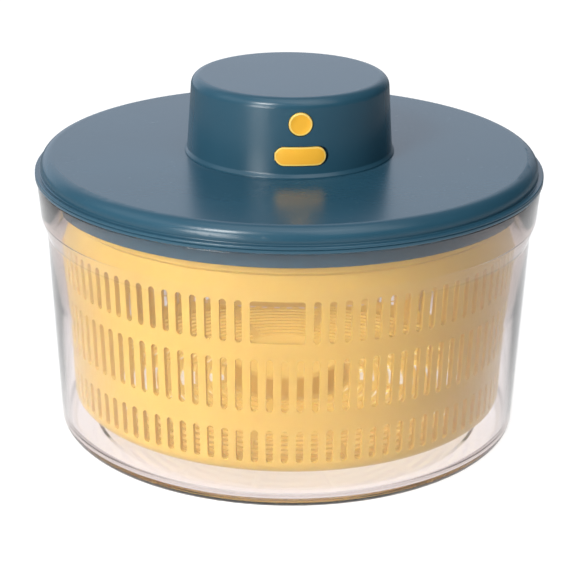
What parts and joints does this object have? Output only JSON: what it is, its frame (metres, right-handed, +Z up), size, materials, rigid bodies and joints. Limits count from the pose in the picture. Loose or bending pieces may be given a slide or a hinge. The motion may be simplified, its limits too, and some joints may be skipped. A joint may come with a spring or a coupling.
{
  "type": "salad spinner",
  "caption": "Battery-driven salad spinner: a lid with a motor dome rests on a clear round bowl and spins a slotted inner basket to dry washed leaves.",
  "frame": {"origin": "centre of the bowl's foot, on the surface it stands on", "axes": "+Z up along the spin axis; -Y towards the power button and charging port"},
  "size_m": [0.256, 0.256, 0.1818],
  "materials": {
    "clear_bowl": "clear, polished",
    "basket_yellow": "warm yellow, satin",
    "lid_blue": "teal blue, semi-gloss",
    "button_yellow": "yellow, satin",
    "cover_yellow": "yellow, matt soft rubber",
    "inner_plastic": "matt",
    "acetal": "white, waxy",
    "black_plastic": "black, matt",
    "black_rubber": "black",
    "steel": "ground",
    "ball_steel": "polished",
    "screw_steel": "zinc plated",
    "nickel": "nickel plated",
    "magnet": "sintered, dark",
    "rotor_iron": "laminated",
    "copper": "copper",
    "brass": "machined",
    "bronze": "sintered bronze",
    "cell_wrap": "shrink wrap",
    "lead_red": "insulation",
    "lead_black": "insulation",
    "board_green": "solder mask"
  },
  "bodies": {
    "bowl_body": {"bowl": "clear_bowl", "pivot_pin": "steel"},
    "pivot_carrier": {"thrust_ball": "ball_steel"},
    "basket_body": {"basket": "basket_yellow", "basket_bearing": "acetal"},
    "drive_body": {"output_shaft": "steel", "output_gear": "acetal", "retaining_ring": "ball_steel", "drive_disc": "inner_plastic", "disc_screw": "screw_steel"},
    "idler_body": {"idler_gear": "acetal"},
    "rotor_body": {"motor_shaft": "steel", "rotor_core": "rotor_iron", "commutator": "copper", "motor_pinion": "brass"},
    "button_body": {"power_button": "button_yellow", "switch_plunger": "acetal"},
    "cover_body": {"port_cover": "cover_yellow"},
    "lid_body": {"lid": "lid_blue", "motor_dome": "lid_blue", "dome_screws": "screw_steel", "gear_plate": "inner_plastic", "gear_plate_screws": "screw_steel", "motor_can": "steel", "motor_end_cap": "black_plastic", "motor_magnets": "magnet", "motor_screws": "screw_steel", "idler_pin": "steel", "upper_bearing": "bronze", "lower_bearing": "bronze", "shaft_seal": "black_rubber", "battery_cell": "cell_wrap", "battery_cradle": "black_plastic", "battery_tabs": "nickel", "battery_leads": "lead_red", "motor_leads": "lead_black", "control_board": "board_green", "board_screws": "screw_steel", "charge_socket": "nickel", "switch_body": "black_plastic"}
  },
  "joints": [
    {"name": "lid_lift", "type": "slide", "parent": "bowl_body", "child": "lid_body", "axis": [0, 0, 1], "range_m": [0, 0.26]},
    {"name": "basket_lift", "type": "slide", "parent": "bowl_body", "child": "pivot_carrier", "axis": [0, 0, 1], "range_m": [0, 0.13]},
    {"name": "basket_spin", "type": "hinge", "parent": "pivot_carrier", "child": "basket_body", "pos_m": [0, 0, 0.0226], "axis": [0, 0, 1], "continuous": true},
    {"name": "drive_disc_spin", "type": "hinge", "parent": "lid_body", "child": "drive_body", "pos_m": [0, 0, 0.1294], "axis": [0, 0, 1], "continuous": true},
    {"name": "idler_spin", "type": "hinge", "parent": "lid_body", "child": "idler_body", "pos_m": [-0.00657, -0.01974, 0.137], "axis": [0, 0, 1], "continuous": true},
    {"name": "motor_spin", "type": "hinge", "parent": "lid_body", "child": "rotor_body", "pos_m": [-0.02, -0.00602, 0.15], "axis": [0, 0, 1], "continuous": true},
    {"name": "power_button_press", "type": "slide", "parent": "lid_body", "child": "button_body", "axis": [0, 1, 0], "range_m": [0, 0.0008], "stiffness_N_per_m": 500, "springref_m": -0.001},
    {"name": "port_cover_open", "type": "hinge", "parent": "lid_body", "child": "cover_body", "pos_m": [-0.01185, -0.0496, 0.1541], "axis": [0, 0, -1], "range_deg": [0, 100]}
  ],
  "couplings": [
    {"joint": "basket_lift", "follows": "lid_lift", "ratio": 0.5},
    {"joint": "drive_disc_spin", "follows": "basket_spin", "ratio": 1},
    {"joint": "idler_spin", "follows": "basket_spin", "ratio": -3.3333},
    {"joint": "motor_spin", "follows": "basket_spin", "ratio": 10}
  ]
}
